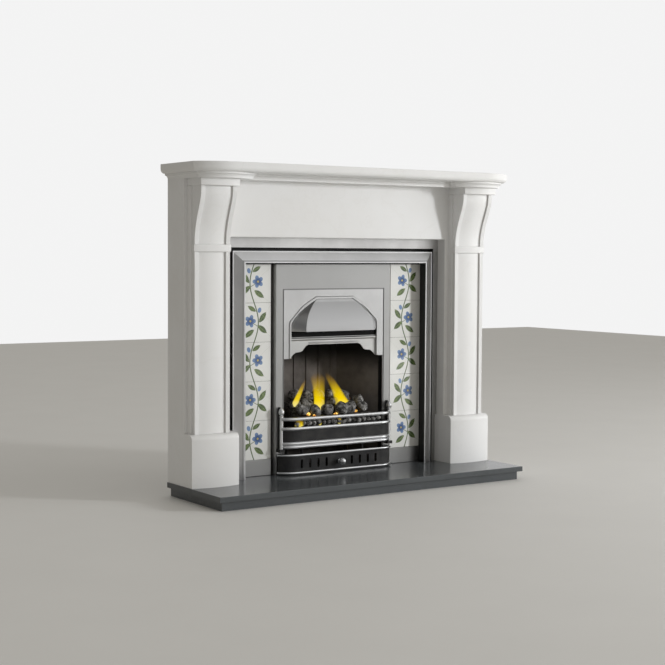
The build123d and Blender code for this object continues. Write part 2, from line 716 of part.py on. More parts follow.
# Wall brackets inside the legs and the bolts that hold the panel
bracket_half, bracket_reach, bracket_skin, screw_half = 40.0, 60.0, 5.0, 22.0
bracket_x0, bracket_x1 = leg_centre - bracket_half, leg_centre + bracket_half
bracket = block(bracket_x0, bracket_x1, -bracket_skin, 0, bed_bottom - bracket_reach, bed_bottom)
bracket += block(bracket_x0, bracket_x1, -bracket_reach, 0, bed_bottom - bracket_skin, bed_bottom)
for x in (leg_centre - screw_half, leg_centre + screw_half):
    bracket -= Pos(x, -bracket_skin / 2, bed_bottom - 35) * (Rot(90, 0, 0) * Cylinder(3.25, 12))
wall_brackets = Compound(children=[bracket, left_of(bracket)])
bolt = Rot(90, 0, 0) * extrude(RegularPolygon(8.0, 6), 6.0)
panel_bolts = Compound(
    children=[
        Pos(side * (mouth_half + 16.0), plate_y1 + 6.0, z) * bolt
        for side in (-1, 1)
        for z in (arch_top, arch_top + 80.0)
    ]
)

parts = {
    "mantel_shelf": mantel_shelf,
    "bed_mould": bed_mould,
    "frieze": frieze,
    "leg_board_right": leg_board,
    "step_slab_right": step_slab,
    "pilaster_right": pilaster,
    "neck_band_right": neck_band,
    "corbel_right": corbel,
    "cap_block_right": cap_block,
    "plinth_right": plinth,
    "tiles_right": tiles_right,
    "lower_plate_right": lower_plate,
    "hearth_slip_right": hearth_slip_side,
}
for name in [n for n in parts if n.endswith("_right")]:
    parts[name.replace("_right", "_left")] = left_of(parts[name])
parts |= {
    "hearth_slab": hearth_slab,
    "hearth_slip_front": hearth_slip_front,
    "hearth_slip_back": hearth_slip_back,
    "rear_hearth": rear_hearth,
    "metal_slips": slips,
    "bevel_frame": bevel_frame,
    "back_plate": back_plate,
    "centre_panel": centre_panel,
    "hood": hood,
    "hood_rail": hood_rail,
    "front_bars": front_bars,
    "finials": finials,
    "fret_panel": fret_panel,
    "fret_moulding": fret_moulding,
    "end_plates": end_plates,
    "bar_brackets": bar_brackets,
    "ashpit_cover": ashpit_cover,
    "cover_beads": cover_beads,
    "ashpit_knob": ashpit_knob,
    "cheek_right": cheek_right,
    "cheek_left": left_of(cheek),
    "firebox_back": firebox_back,
    "throat_plate": throat_plate,
    "damper_flap": damper_flap,
    "burner_tray": burner_tray,
    "fuel_base": fuel_base,
    "coals": coals,
    "gas_valve": gas_valve,
    "control_knob": control_knob,
    "gas_pipe": gas_pipe,
    "burner_feed": burner_feed,
    "wall_brackets": wall_brackets,
    "panel_bolts": panel_bolts,
}
os.makedirs("parts", exist_ok=True)
for name, part in parts.items():
    placed = Pos(0, wall_y, hearth_top) * part
    solids = placed.solids()
    export_step(solids[0] if len(solids) == 1 else Compound(children=list(solids)), f"parts/{name}.step")
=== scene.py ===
# %% [markdown]
# A stone fireplace with a tiled cast iron insert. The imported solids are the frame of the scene. This
# file gives them their finishes, and adds the lumpy coals, the embers, the cinders and the flames
# that plain solids can't show. Every piece rides on a body of the model, so it moves with it.

# %% Load the model
import math
import random

import bpy
from mathutils import Matrix, Vector


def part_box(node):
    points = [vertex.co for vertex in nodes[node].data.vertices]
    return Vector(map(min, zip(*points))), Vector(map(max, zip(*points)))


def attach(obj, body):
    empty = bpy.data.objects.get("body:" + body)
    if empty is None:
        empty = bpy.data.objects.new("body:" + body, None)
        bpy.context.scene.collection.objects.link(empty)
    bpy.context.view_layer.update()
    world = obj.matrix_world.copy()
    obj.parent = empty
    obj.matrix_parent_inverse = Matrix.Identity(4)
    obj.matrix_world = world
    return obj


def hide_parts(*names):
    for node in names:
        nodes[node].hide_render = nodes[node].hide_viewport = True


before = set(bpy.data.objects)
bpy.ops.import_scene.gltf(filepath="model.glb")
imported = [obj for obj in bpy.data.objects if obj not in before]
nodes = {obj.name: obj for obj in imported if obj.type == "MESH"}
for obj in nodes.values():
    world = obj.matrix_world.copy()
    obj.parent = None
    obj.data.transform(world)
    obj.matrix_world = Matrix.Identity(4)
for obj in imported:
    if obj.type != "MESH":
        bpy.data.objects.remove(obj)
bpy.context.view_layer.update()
ROOT = "fireplace"
WALL_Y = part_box("mantel_shelf")[1].y
HEARTH_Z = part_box("hearth_slab")[1].z
print("nodes", len(nodes), "wall at", round(WALL_Y, 3), "hearth top at", round(HEARTH_Z, 3))

# %% [markdown]
# The camera stands to the left of the fireplace at eye height of a seated person. Its place, its turn
# and its long lens were worked out from the straight edges of the real one, so that the picture
# can be set against it. The lens is stated for a square picture, so nothing depends on render size.

# %% Camera
CAMERA_AT = Vector((-3.199, -4.818 + WALL_Y, 0.871 + HEARTH_Z))
TURN, PITCH, ROLL = math.radians(33.92), math.radians(3.18), math.radians(0.30)
LENS = 77.48

ahead = Vector(
    (math.sin(TURN) * math.cos(PITCH), math.cos(TURN) * math.cos(PITCH), -math.sin(PITCH))
)
level = Vector((math.cos(TURN), -math.sin(TURN), 0))
above = level.cross(ahead)
across = level * math.cos(ROLL) + above * math.sin(ROLL)
upward = above * math.cos(ROLL) - level * math.sin(ROLL)
camera_data = bpy.data.cameras.new("camera")
camera_data.lens = LENS
camera_data.sensor_width = 36.0
camera = bpy.data.objects.new("camera", camera_data)
facing = Matrix((across, upward, -ahead)).transposed().to_4x4()
camera.matrix_world = Matrix.Translation(CAMERA_AT) @ facing
bpy.context.scene.collection.objects.link(camera)
bpy.context.scene.camera = camera
print("camera", [round(c, 3) for c in camera.location])

# %% [markdown]
# Finishes are written as expressions. A small class wraps a socket, so that adding or multiplying two
# values adds the Math node for it. Colours go through Mix nodes, because Math nodes make them grey.


# %% Shader expressions
class Value:
    """A number that varies over the surface."""

    def __init__(self, shader, socket):
        self.shader, self.socket = shader, socket

    def math(self, operation, *others, clamp=False):
        node = self.shader.tree.nodes.new("ShaderNodeMath")
        node.operation = operation
        node.use_clamp = clamp
        for slot, value in zip(node.inputs, (self, *others)):
            self.shader.feed(slot, value)
        return Value(self.shader, node.outputs[0])

    def __add__(self, other):
        return self.math("ADD", other)

    def __radd__(self, other):
        return self.math("ADD", other)

    def __sub__(self, other):
        return self.math("SUBTRACT", other)

    def __rsub__(self, other):
        return self.shader.number(other).math("SUBTRACT", self)

    def __mul__(self, other):
        return self.math("MULTIPLY", other)

    def __rmul__(self, other):
        return self.math("MULTIPLY", other)

    def __truediv__(self, other):
        return self.math("DIVIDE", other)

    def __pow__(self, other):
        return self.math("POWER", other)

    def __abs__(self):
        return self.math("ABSOLUTE")

    def clipped(self):
        return self.math("ADD", 0.0, clamp=True)

    def lower(self, other):
        return self.math("MINIMUM", other)

    def higher(self, other):
        return self.math("MAXIMUM", other)


class Shader:
    """A material in the making: its tree, its surface shader and helpers for the nodes it uses."""

    def __init__(self, name, **constants):
        self.material = bpy.data.materials.new(name)
        self.material.use_nodes = True
        self.tree = self.material.node_tree
        self.surface = self.tree.nodes["Principled BSDF"]
        for key, value in constants.items():
            label = key.replace("_", " ").title().replace("Ior", "IOR")
            self.surface.inputs[label].default_value = value

    def feed(self, slot, value):
        if isinstance(value, Value):
            self.tree.links.new(value.socket, slot)
        elif hasattr(value, "is_output"):
            self.tree.links.new(value, slot)
        else:
            slot.default_value = value

    def node(self, kind, settings=None, output=0, **values):
        node = self.tree.nodes.new(kind)
        for key, value in (settings or {}).items():
            setattr(node, key, value)
        for key, value in values.items():
            self.feed(node.inputs[key.replace("_", " ").title()], value)
        return node.outputs[output]

    def number(self, value):
        node = self.tree.nodes.new("ShaderNodeValue")
        node.outputs[0].default_value = value
        return Value(self, node.outputs[0])

    def place(self, scale=(1, 1, 1)):
        """Object coordinates in metres, stretched by scale."""
        coords = self.node("ShaderNodeTexCoord", output="Object")
        return self.node("ShaderNodeMapping", Vector=coords, Scale=scale)

    def axes(self):
        node = self.tree.nodes.new("ShaderNodeSeparateXYZ")
        self.feed(node.inputs[0], self.node("ShaderNodeTexCoord", output="Object"))
        return [Value(self, out) for out in node.outputs]

    def noise(self, scale, detail=3.0, rough=0.55, stretch=(1, 1, 1)):
        out = self.node(
            "ShaderNodeTexNoise", Vector=self.place(stretch), Scale=scale, Detail=detail, Roughness=rough
        )
        return Value(self, out)

    def cells(self, scale, feature="F1"):
        settings = {"feature": feature}
        out = self.node("ShaderNodeTexVoronoi", settings, Vector=self.place(), Scale=scale)
        return Value(self, out)

    def band(self, value, low, high):
        """0 below low, 1 above high, smooth between."""
        node = self.tree.nodes.new("ShaderNodeMapRange")
        node.interpolation_type = "SMOOTHSTEP"
        self.feed(node.inputs["Value"], value)
        node.inputs["From Min"].default_value = low
        node.inputs["From Max"].default_value = high
        return Value(self, node.outputs[0])

    def mix(self, first, second, share):
        node = self.tree.nodes.new("ShaderNodeMix")
        node.data_type = "RGBA"
        self.feed(node.inputs["Factor"], share)
        for slot, colour in ((node.inputs[6], first), (node.inputs[7], second)):
            self.feed(slot, (*colour, 1.0) if isinstance(colour, tuple) else colour)
        return node.outputs[2]

    def put(self, slot, value):
        self.feed(self.surface.inputs[slot], value)

    def bump(self, height, distance, strength=1.0):
        self.put(
            "Normal",
            self.node("ShaderNodeBump", Height=height, Distance=distance, Strength=strength),
        )


def finish_nodes(material, *names):
    for name in names:
        nodes[name].data.materials.clear()
        nodes[name].data.materials.append(material)
    print(material.name, "on", len(names), "nodes")


# %% [markdown]
# The surround is a pale, fine grained stone, cut and rubbed to a satin face. It is nearly white, so
# its life comes from faint clouds of warmer and cooler tone, a few hair thin veins and a soft sheen.

# %% Surround stone
stone = Shader("pale_stone", roughness=0.36, specular_ior_level=0.42)
clouds = stone.noise(2.6, 5.0, 0.6)
grain = stone.noise(240.0, 2.0)
vein = abs(stone.noise(1.7, 8.0, 0.62) - 0.5)
tone = stone.mix((0.77, 0.765, 0.755), (0.80, 0.80, 0.80), stone.band(clouds, 0.3, 0.7))
tone = stone.mix(tone, (0.71, 0.70, 0.68), (1 - stone.band(vein, 0.0, 0.012)) * 0.18)
tone = stone.mix(tone, (0.73, 0.725, 0.715), stone.band(grain, 0.55, 0.75) * 0.25)
stone.put("Base Color", tone)
stone.put("Roughness", 0.30 + clouds * 0.14)
stone.bump(grain, 0.00012, 0.35)
PAIRED = ("leg_board", "step_slab", "pilaster", "neck_band", "corbel", "cap_block", "plinth")
stone_pairs = [name for name in nodes if name.rsplit("_", 1)[0] in PAIRED]
finish_nodes(stone.material, "mantel_shelf", "bed_mould", "frieze", *stone_pairs)

# %% [markdown]
# The hearth is polished dark granite: charcoal crystals, a few lighter flecks, and a shine that shows
# the pale legs and the fire's chrome upside down in it. Voronoi cells give the crystals.

# %% Hearth granite
granite = Shader("dark_granite", specular_ior_level=0.5)
crystals = granite.cells(420.0)
flecks = granite.noise(650.0, 2.0)
drift = granite.noise(5.0, 3.0)
tone = granite.mix((0.052, 0.058, 0.062), (0.085, 0.092, 0.098), granite.band(crystals, 0.1, 0.6))
tone = granite.mix(tone, (0.21, 0.22, 0.23), granite.band(flecks, 0.62, 0.72) * 0.55)
tone = granite.mix(tone, (0.035, 0.038, 0.04), granite.band(drift, 0.5, 0.75) * 0.35)
granite.put("Base Color", tone)
granite.put("Roughness", 0.13 + drift * 0.12)
granite.bump(crystals, 0.00008, 0.2)
finish_nodes(
    granite.material,
    "hearth_slab",
    "hearth_slip_front",
    "hearth_slip_back",
    "hearth_slip_left",
    "hearth_slip_right",
    "rear_hearth",
)

# %% [markdown]
# The insert is cast iron, ground and polished by hand along its length. It shines like pewter, with
# fine scratches along the grain and darker clouds where the polish is thin. Stretched noise makes
# the grain: on the uprights it runs up, and on the flat slips it runs along.


# %% Polished iron
def polished_iron(name, pale, dark, rough, grain_stretch):
    """The shader and its tone, so that painted shade can be laid over a casting's tone."""
    iron = Shader(name, metallic=1.0)
    lines = iron.noise(900.0, 2.0, 0.5, grain_stretch)
    patches = iron.noise(5.0, 4.0, 0.6)
    tone = iron.mix(dark, pale, iron.band(patches, 0.25, 0.75))
    tone = iron.mix(tone, dark, iron.band(lines, 0.45, 0.75) * 0.35)
    iron.put("Roughness", rough + patches * 0.08 + lines * 0.06)
    iron.bump(lines, 0.00006, 0.4)
    return iron, tone


# %% [markdown]
# The centre panel is lighter inside a cut line that runs round the hood and darker outside it, which is
# painted shade, as is the dark line along the cut. Distances from the middle and from the hearth say
# which side of the line a point is on. Above the panel, the shaded gap under the frame is painted as a
# black strip along its top edge.

# %% Centre panel and hood
panel_iron, tone = polished_iron(
    "polished_iron", (0.60, 0.60, 0.60), (0.50, 0.50, 0.50), 0.30, (1, 1, 0.04)
)
x, y, z = panel_iron.axes()
GROOVE_HALF, GROOVE_TOP = 0.2415, HEARTH_Z + 0.7275
PANEL_OUT, HOOD_OUT = 0.075, 0.080
TOP_GAP_SHADE = HEARTH_Z + 0.8245
outside = (abs(x) - GROOVE_HALF).higher(z - GROOVE_TOP)
brushed = panel_iron.noise(3.0, 3.0, 0.5, (1, 1, 0.5))
# Painted shade: darker outside the cut line, so that the field inside it reads as a plane of its own.
outer_shade_tone = panel_iron.mix((0.37, 0.37, 0.365), (0.44, 0.44, 0.435), brushed)
tone = panel_iron.mix(tone, outer_shade_tone, panel_iron.band(outside, 0.0, 0.002))
hood_front = panel_iron.band(-1 * (y - WALL_Y) - HOOD_OUT, 0.0, 0.003)
tone = panel_iron.mix(tone, (0.45, 0.45, 0.45), hood_front)
on_face = 1 - panel_iron.band(abs(y - WALL_Y + PANEL_OUT), 0.004, 0.006)
# Painted shade: a dark line along the cut, where the groove lies in shade.
groove_shade = 1 - panel_iron.band(abs(outside), 0.0015, 0.0032)
tone = panel_iron.mix(tone, (0.10, 0.10, 0.10), groove_shade * on_face * 0.7)
# Painted shade: a near black strip along the top edge, for the shaded gap under the frame.
tone = panel_iron.mix(tone, (0.015, 0.015, 0.015), panel_iron.band(z - TOP_GAP_SHADE, 0.0, 0.0015))
panel_iron.put("Base Color", tone)
finish_nodes(panel_iron.material, "centre_panel", "hood", "lower_plate_left", "lower_plate_right")

# %% [markdown]
# The rail under the hood is polished along its length, so its grain runs sideways. Its top ledge lies
# in the shade of the hood, and that shade is painted on it as a nearly black tone.

# %% Hood rail
rail_iron, tone = polished_iron("rail_iron", (0.60, 0.60, 0.59), (0.50, 0.50, 0.49), 0.28, (0.04, 1, 1))
x, y, z = rail_iron.axes()
RAIL_TOP = HEARTH_Z + 0.5375
# Painted shade: the top ledge, under the hood, is painted nearly black.
tone = rail_iron.mix(tone, (0.012, 0.012, 0.012), rail_iron.band(z - RAIL_TOP, 0.0, 0.002))
rail_iron.put("Base Color", tone)
finish_nodes(rail_iron.material, "hood_rail")

# %% [markdown]
# The frame is the brightest casting. Its inner edge turns back towards the tiles, and that return lies
# in shade, which is painted on it as a dark tone. The flat slips outside it are painted darker down
# the two sides than along the top strip, as painted shade.

# %% Bevelled frame and flat slips
frame_iron, tone = polished_iron(
    "frame_iron", (0.74, 0.74, 0.745), (0.62, 0.62, 0.625), 0.26, (1, 1, 0.05)
)
x, y, z = frame_iron.axes()
INNER_HALF, INNER_TOP, RETURN_OUT = 0.4412, HEARTH_Z + 0.8407, 0.107
inner = 1 - frame_iron.band((abs(x) - INNER_HALF).higher(z - INNER_TOP), 0.0, 0.001)
return_shade = frame_iron.band(y - WALL_Y + RETURN_OUT, 0.0, 0.003)
# Painted shade: the inner return, which lies in shade, is painted nearly black.
tone = frame_iron.mix(tone, (0.03, 0.03, 0.03), inner * return_shade)
frame_iron.put("Base Color", tone)
finish_nodes(frame_iron.material, "bevel_frame")

slip_iron, tone = polished_iron(
    "brushed_slips", (0.66, 0.655, 0.65), (0.50, 0.495, 0.49), 0.26, (0.05, 1, 1)
)
x, y, z = slip_iron.axes()
FRAME_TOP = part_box("bevel_frame")[1].z
# Painted shade: the two upright sides of the slips are painted darker than the top strip.
upright_shade = 1 - slip_iron.band(z - FRAME_TOP, 0.0, 0.003)
tone = slip_iron.mix(tone, (0.40, 0.398, 0.39), upright_shade * 0.85)
slip_iron.put("Base Color", tone)
finish_nodes(slip_iron.material, "metal_slips")

# %% [markdown]
# Blacked iron is the raw casting rubbed with black grate polish. It is rough like fine sand, a little
# shiny on its high spots, and never quite black.

# %% Blacked iron
black = Shader("blacked_iron", specular_ior_level=0.38)
sand = black.noise(520.0, 4.0, 0.6)
wear = black.noise(18.0, 4.0)
worn = black.band(wear, 0.35, 0.7)
black.put("Base Color", black.mix((0.013, 0.013, 0.014), (0.034, 0.033, 0.032), worn))
black.put("Roughness", 0.42 + sand * 0.25)
black.bump(sand, 0.0004, 0.6)
finish_nodes(
    black.material,
    "fret_panel",
    "end_plates",
    "ashpit_cover",
    "burner_tray",
    "bar_brackets",
    "back_plate",
    "damper_flap",
)

# %% [markdown]
# The firebox is lined with plates that are pale grey low down and nearly black higher up. The change
# runs with height, and clouds of noise keep it from looking like a band.

# %% Firebox lining
lining = Shader("firebox_lining", specular_ior_level=0.25)
lining_clouds = lining.noise(9.0, 5.0, 0.62)
x, y, z = lining.axes()
DARK_FROM, DARK_FULL = 0.43, 0.53
# The tone runs from pale grey low down to nearly black higher up.
lower_share = 1 - lining.band(z, DARK_FROM, DARK_FULL)
tone = lining.mix((0.012, 0.011, 0.010), (0.20, 0.18, 0.168), lower_share * lining.band(lining_clouds, -0.1, 0.75))
lining.put("Base Color", tone)
lining.put("Roughness", 0.75 + lining_clouds * 0.2)
lining.bump(lining_clouds, 0.002, 0.5)
finish_nodes(lining.material, "cheek_left", "cheek_right", "firebox_back", "throat_plate")

# %% [markdown]
# The bars, beads and knobs are chrome plated. A mirror finish only looks right when it isn't perfect,
# so faint smears change its roughness, and a hint of blue keeps it apart from the iron.

# %% Chrome plate
chrome = Shader("chrome_plate", metallic=1.0)
smears = chrome.noise(40.0, 3.0)
chrome.put("Base Color", chrome.mix((0.72, 0.73, 0.74), (0.82, 0.825, 0.83), smears))
chrome.put("Roughness", 0.27 + smears * 0.12)
finish_nodes(chrome.material, "front_bars", "finials", "fret_moulding", "cover_beads", "ashpit_knob")

# %% [markdown]
# The gas fittings are plain brass, and the one inside the fire sits in a dark gap whose shade is painted
# on it as a nearly black brass. The wall brackets and bolts are zinc plated, with the flat crystals that
# zinc leaves, and the control knob is moulded plastic with a fine grain.

# %% Brass, zinc and knob plastic
brass = Shader("plain_brass", metallic=1.0)
tarnish = brass.noise(30.0, 4.0)
brass.put("Base Color", brass.mix((0.42, 0.30, 0.12), (0.62, 0.47, 0.22), tarnish))
brass.put("Roughness", 0.28 + tarnish * 0.2)
finish_nodes(brass.material, "gas_valve", "gas_pipe")

# Painted shade: the feed sits in a dark gap, so its brass is painted nearly black.
feed_shade = Shader("painted_shade_brass", metallic=1.0)
feed_mottle = feed_shade.noise(45.0, 4.0)
feed_shade.put("Base Color", feed_shade.mix((0.035, 0.030, 0.024), (0.10, 0.08, 0.045), feed_mottle))
feed_shade.put("Roughness", 0.5 + feed_mottle * 0.2)
finish_nodes(feed_shade.material, "burner_feed")

zinc = Shader("zinc_plate", metallic=1.0)
spangle = zinc.cells(160.0)
zinc.put("Base Color", zinc.mix((0.42, 0.43, 0.44), (0.60, 0.61, 0.62), spangle))
zinc.put("Roughness", 0.35 + spangle * 0.2)
finish_nodes(zinc.material, "wall_brackets", "panel_bolts")

plastic = Shader("knob_plastic", specular_ior_level=0.5)
skin = plastic.noise(800.0, 2.0)
plastic.put("Base Color", plastic.mix((0.015, 0.015, 0.016), (0.03, 0.03, 0.031), skin))
plastic.put("Roughness", 0.4 + skin * 0.15)
plastic.bump(skin, 0.0001, 0.4)
finish_nodes(plastic.material, "control_knob")

# %% [markdown]
# Each tile is white earthenware under a clear glaze, with a painted border of blue flowers on a winding
# green stem. Nothing is drawn on a picture: the shader works out where on its tile each point lies,
# in millimetres from the tile's middle, and every second tile is turned over left to right.

# %% Painted tiles: where a point is on its tile
tiles = Shader(
    "painted_tiles", roughness=0.10, specular_ior_level=0.5, coat_weight=0.6, coat_roughness=0.05
)
MM = 1000.0
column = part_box("tiles_right")
COLUMN_X = (column[0].x + column[1].x) / 2 * MM
COLUMN_Z = column[0].z * MM
PITCH_Z = (column[1].z - column[0].z) * MM / 5
x, y, z = tiles.axes()
u = abs(x) * MM - COLUMN_X
row = ((z * MM - COLUMN_Z) / PITCH_Z).math("FLOOR")
w = z * MM - COLUMN_Z - (row + 0.5) * PITCH_Z
side = 1 - (row.math("MODULO", 2.0)) * 2
swing_u = u * side
print("tile column centre", round(COLUMN_X, 1), "pitch", round(PITCH_Z, 1))

# %% [markdown]
# The painting is a plain traditional kind: the stem swings from side to side, one turn to a tile, and
# each swing carries a five petalled flower, four leaves and a bud. It is drawn with distances: a
# petal, a leaf or a stem is wherever a distance is small enough.


# %% Painted tiles: stem, leaves and flowers
def turned(centre_u, centre_w, degrees):
    """The point in a frame that is moved to a centre and turned."""
    a = math.radians(degrees)
    du, dw = swing_u - centre_u, w - centre_w
    return du * math.cos(a) + dw * math.sin(a), dw * math.cos(a) - du * math.sin(a)


def leaf(centre_u, centre_w, degrees, length, width):
    """How far inside a pointed leaf the point is, in millimetres, and how near its midrib."""
    along, aside = turned(centre_u, centre_w, degrees)
    share = along / length
    edge = (1 - share * share).higher(0.0) * width
    ripple = (along * 1.1).math("SINE") * 0.9
    return edge - abs(aside) + ripple, abs(aside)


STEM_SWING, STEM_HALF, STEM_SLOPE = 19.0, 2.6, 0.93
stem_u = (w * (math.pi / PITCH_Z)).math("COSINE") * STEM_SWING
stem = STEM_HALF - abs(swing_u - stem_u) * STEM_SLOPE
leaves = [
    leaf(38, 20, 52, 26, 11),
    leaf(37, -26, -38, 26, 11),
    leaf(-22, -42, 214, 27, 11),
    leaf(-10, 54, 150, 22, 9),
]
green = leaves[0][0]
midrib = leaves[0][1]
for inside, rib in leaves[1:]:
    green = green.higher(inside)
    midrib = midrib.lower(rib)
flower_u, flower_w = turned(-17, 6, 0)
reach = (flower_u * flower_u + flower_w * flower_w) ** 0.5
petal = (flower_w.math("ARCTAN2", flower_u) * 2.5).math("COSINE")
FLOWER_HEART, PETAL_SWELL = 15.0, 10.5
blue = FLOWER_HEART + abs(petal) * PETAL_SWELL - reach
stalk_along, stalk_aside = turned(1, -6, 152)
stalk = 1.5 - abs(stalk_aside) - (abs(stalk_along) - 17).higher(0.0)
bud_u, bud_w = turned(24, 48, 70)
bud = 8.5 - ((bud_u * 0.75) * (bud_u * 0.75) + bud_w * bud_w) ** 0.5
print("leaves", len(leaves), "stem swings", STEM_SWING, "mm")

# %% [markdown]
# Each distance becomes a mask with a soft edge, and the masks lay one colour over another as a brush
# would: glaze first, then stem, leaves, petals and the yellow heart. Noise makes the paint thin in
# places, and a slow noise tips the glaze so that its shine isn't flat.

# %% Painted tiles: colours and glaze
wash = tiles.noise(70.0, 4.0, 0.6)
crackle = tiles.noise(6.0, 2.0)
tone = tiles.mix((0.74, 0.74, 0.71), (0.80, 0.80, 0.78), crackle)
leaf_tone = tiles.mix((0.045, 0.08, 0.03), (0.14, 0.20, 0.065), tiles.band(wash, 0.3, 0.7))
leaf_tone = tiles.mix(leaf_tone, (0.22, 0.28, 0.12), 1 - tiles.band(midrib, 0.4, 1.1))
blue_tone = tiles.mix((0.04, 0.09, 0.24), (0.17, 0.27, 0.46), tiles.band(reach, 6.0, 23.0))
blue_tone = tiles.mix(blue_tone, (0.035, 0.06, 0.19), tiles.band(wash, 0.5, 0.8) * 0.5)
tone = tiles.mix(tone, (0.075, 0.12, 0.04), tiles.band(stem.higher(stalk), 0.0, 0.8))
tone = tiles.mix(tone, leaf_tone, tiles.band(green, 0.0, 1.0))
tone = tiles.mix(tone, blue_tone, tiles.band(blue.higher(bud), 0.0, 1.2))
tone = tiles.mix(tone, (0.50, 0.42, 0.10), 1 - tiles.band(reach, 3.6, 4.8))
# Painted shade: a near black strip along the top of the tiles, for the shaded gap under the frame.
tone = tiles.mix(tone, (0.03, 0.03, 0.028), tiles.band(z - TOP_GAP_SHADE, 0.0, 0.0015))
tiles.put("Base Color", tone)
tiles.bump(crackle, 0.0006, 0.15)
finish_nodes(tiles.material, "tiles_left", "tiles_right")

# %% [markdown]
# Gas coals are lumps of ceramic, dark grey with an ash grey skin, piled on a matt fuel base. Noise
# gives the skin its patches, and fine cells its pits. The chips between them glow in spots, so their
# light comes from the same kind of noise.

# %% Fuel materials
coal = Shader("ceramic_coal", specular_ior_level=0.3)
ash = coal.noise(60.0, 6.0, 0.7)
pits = coal.cells(210.0)
tone = coal.mix((0.030, 0.029, 0.028), (0.24, 0.235, 0.23), coal.band(ash, 0.38, 0.60))
tone = coal.mix(tone, (0.58, 0.57, 0.55), coal.band(ash, 0.58, 0.68) * 0.9)
coal.put("Base Color", tone)
coal.put("Roughness", 0.7 + ash * 0.25)
coal.bump(ash + pits * 0.5, 0.004, 0.8)

ember = Shader("ember", emission_strength=1.6)
glow = ember.noise(85.0, 4.0)
ember.put("Base Color", ember.mix((0.06, 0.03, 0.02), (0.30, 0.12, 0.05), glow))
hot = ember.band(glow, 0.40, 0.55)
ember.put("Emission Color", ember.mix((0.30, 0.07, 0.0), (1.0, 0.70, 0.16), hot))
ember.put("Roughness", 0.8 + glow * 0.1)

ash_bed = Shader("ash_bed", specular_ior_level=0.2)
dust = ash_bed.noise(120.0, 5.0)
dusty = ash_bed.band(dust, 0.4, 0.7)
ash_bed.put("Base Color", ash_bed.mix((0.03, 0.028, 0.026), (0.17, 0.16, 0.15), dusty))
ash_bed.put("Roughness", 0.85 + dust * 0.1)
ash_bed.bump(dust, 0.003, 0.7)
finish_nodes(ash_bed.material, "fuel_base")

# %% [markdown]
# No two lumps are alike, yet all are made in one way, which is what Geometry Nodes are for: one point
# for each lump, a ball on each point with its own size and turn, and noise to break its outline. The
# tree ends with real faces, because the result is kept as a plain mesh.


# %% A tree that turns points into lumps
def lump_tree(name, subdivisions, material, smallest=(0.72, 0.72, 0.62), largest=(1.12, 1.12, 1.0)):
    tree = bpy.data.node_groups.new(name, "GeometryNodeTree")
    face = tree.interface
    face.new_socket("Geometry", in_out="INPUT", socket_type="NodeSocketGeometry")
    for label, value in (("Size", 0.024), ("Roughness", 0.010), ("Grain", 26.0)):
        face.new_socket(label, in_out="INPUT", socket_type="NodeSocketFloat").default_value = value
    face.new_socket("Geometry", in_out="OUTPUT", socket_type="NodeSocketGeometry")
    add, link = tree.nodes.new, tree.links.new
    given, out = add("NodeGroupInput"), add("NodeGroupOutput")
    ball = add("GeometryNodeMeshIcoSphere")
    ball.inputs["Subdivisions"].default_value = subdivisions
    link(given.outputs["Size"], ball.inputs["Radius"])
    scatter = add("GeometryNodeInstanceOnPoints")
    turn, size = add("FunctionNodeRandomValue"), add("FunctionNodeRandomValue")
    ranges = ((turn, (-0.5, -0.5, 0), (0.5, 0.5, 6.28), 3), (size, smallest, largest, 8))
    for node, low, high, seed in ranges:
        node.data_type = "FLOAT_VECTOR"
        node.inputs["Min"].default_value = low
        node.inputs["Max"].default_value = high
        node.inputs["Seed"].default_value = seed
    link(given.outputs["Geometry"], scatter.inputs["Points"])
    link(ball.outputs["Mesh"], scatter.inputs["Instance"])
    link(turn.outputs["Value"], scatter.inputs["Rotation"])
    link(size.outputs["Value"], scatter.inputs["Scale"])
    realize = add("GeometryNodeRealizeInstances")
    link(scatter.outputs["Instances"], realize.inputs["Geometry"])
    noise = add("ShaderNodeTexNoise")
    noise.inputs["Detail"].default_value = 3.0
    link(given.outputs["Grain"], noise.inputs["Scale"])
    link(add("GeometryNodeInputPosition").outputs["Position"], noise.inputs["Vector"])
    centred, push = add("ShaderNodeMath"), add("ShaderNodeMath")
    centred.operation, push.operation = "SUBTRACT", "MULTIPLY"
    link(noise.outputs[0], centred.inputs[0])
    centred.inputs[1].default_value = 0.5
    link(centred.outputs[0], push.inputs[0])
    link(given.outputs["Roughness"], push.inputs[1])
    outward = add("ShaderNodeVectorMath")
    outward.operation = "SCALE"
    link(add("GeometryNodeInputNormal").outputs["Normal"], outward.inputs[0])
    link(push.outputs[0], outward.inputs["Scale"])
    move = add("GeometryNodeSetPosition")
    link(realize.outputs["Geometry"], move.inputs["Geometry"])
    link(outward.outputs["Vector"], move.inputs["Offset"])
    paint = add("GeometryNodeSetMaterial")
    paint.inputs["Material"].default_value = material
    link(move.outputs["Geometry"], paint.inputs["Geometry"])
    link(paint.outputs["Geometry"], out.inputs[0])
    return tree


